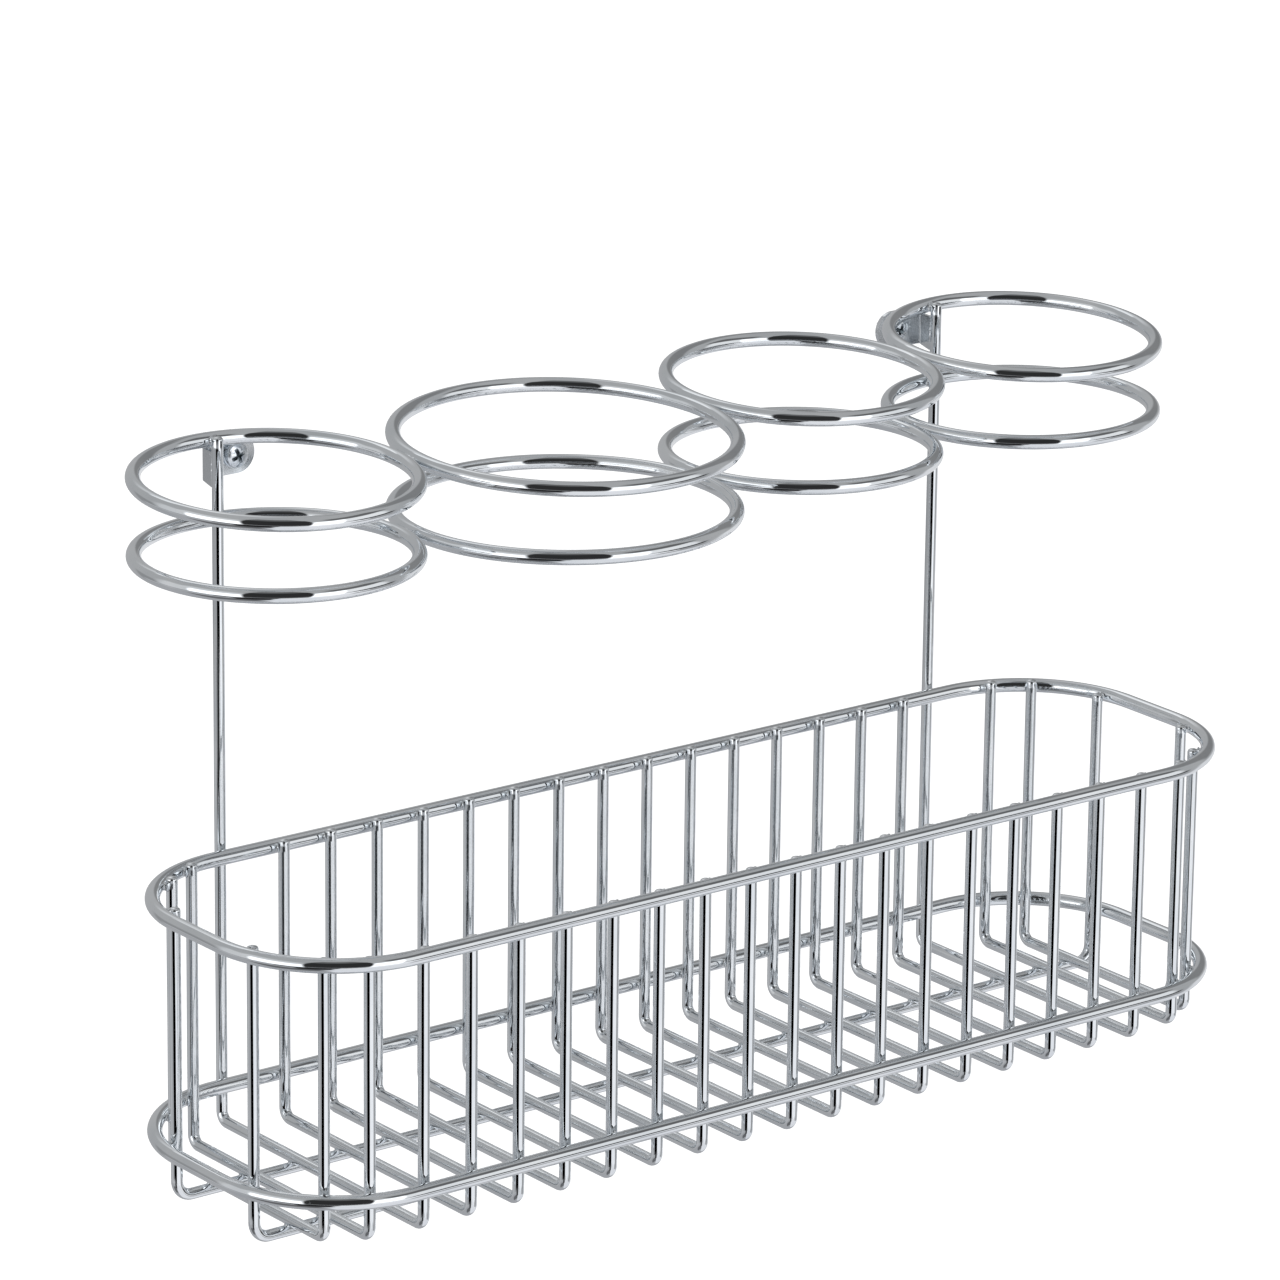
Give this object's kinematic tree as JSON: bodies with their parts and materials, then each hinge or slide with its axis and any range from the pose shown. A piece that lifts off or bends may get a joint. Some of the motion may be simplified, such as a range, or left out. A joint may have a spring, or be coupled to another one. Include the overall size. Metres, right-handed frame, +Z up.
{
  "type": "hair dryer holder",
  "caption": "Wall-hung chrome wire holder: paired rings for a hair dryer and brushes above a long rounded wire basket.",
  "frame": {"origin": "on the wall's surface, midway between the two screw holes", "axes": "+X along the basket to the right as seen from the front, +Y into the wall, +Z up"},
  "size_m": [0.3574, 0.1234, 0.2129],
  "materials": {
    "wire": "polished chrome plating on welded steel wire",
    "bracket": "polished chrome plating on bent steel sheet",
    "screw": "bright zinc-plated steel"
  },
  "bodies": {
    "root": {"top_rim": "wire", "bottom_rim": "wire", "cross_wire_01": "wire", "cross_wire_02": "wire", "cross_wire_03": "wire", "cross_wire_04": "wire", "cross_wire_05": "wire", "cross_wire_06": "wire", "cross_wire_07": "wire", "cross_wire_08": "wire", "cross_wire_09": "wire", "cross_wire_10": "wire", "cross_wire_11": "wire", "cross_wire_12": "wire", "cross_wire_13": "wire", "cross_wire_14": "wire", "cross_wire_15": "wire", "cross_wire_16": "wire", "cross_wire_17": "wire", "cross_wire_18": "wire", "cross_wire_19": "wire", "upright_left": "wire", "upright_right": "wire", "long_wire_front": "wire", "long_wire_rear": "wire", "ring_left_upper": "wire", "ring_left_lower": "wire", "ring_dryer_upper": "wire", "ring_dryer_lower": "wire", "ring_middle_upper": "wire", "ring_middle_lower": "wire", "ring_right_upper": "wire", "ring_right_lower": "wire", "bracket_left": "bracket", "bracket_right": "bracket", "screw_left": "screw", "screw_right": "screw"}
  },
  "joints": []
}
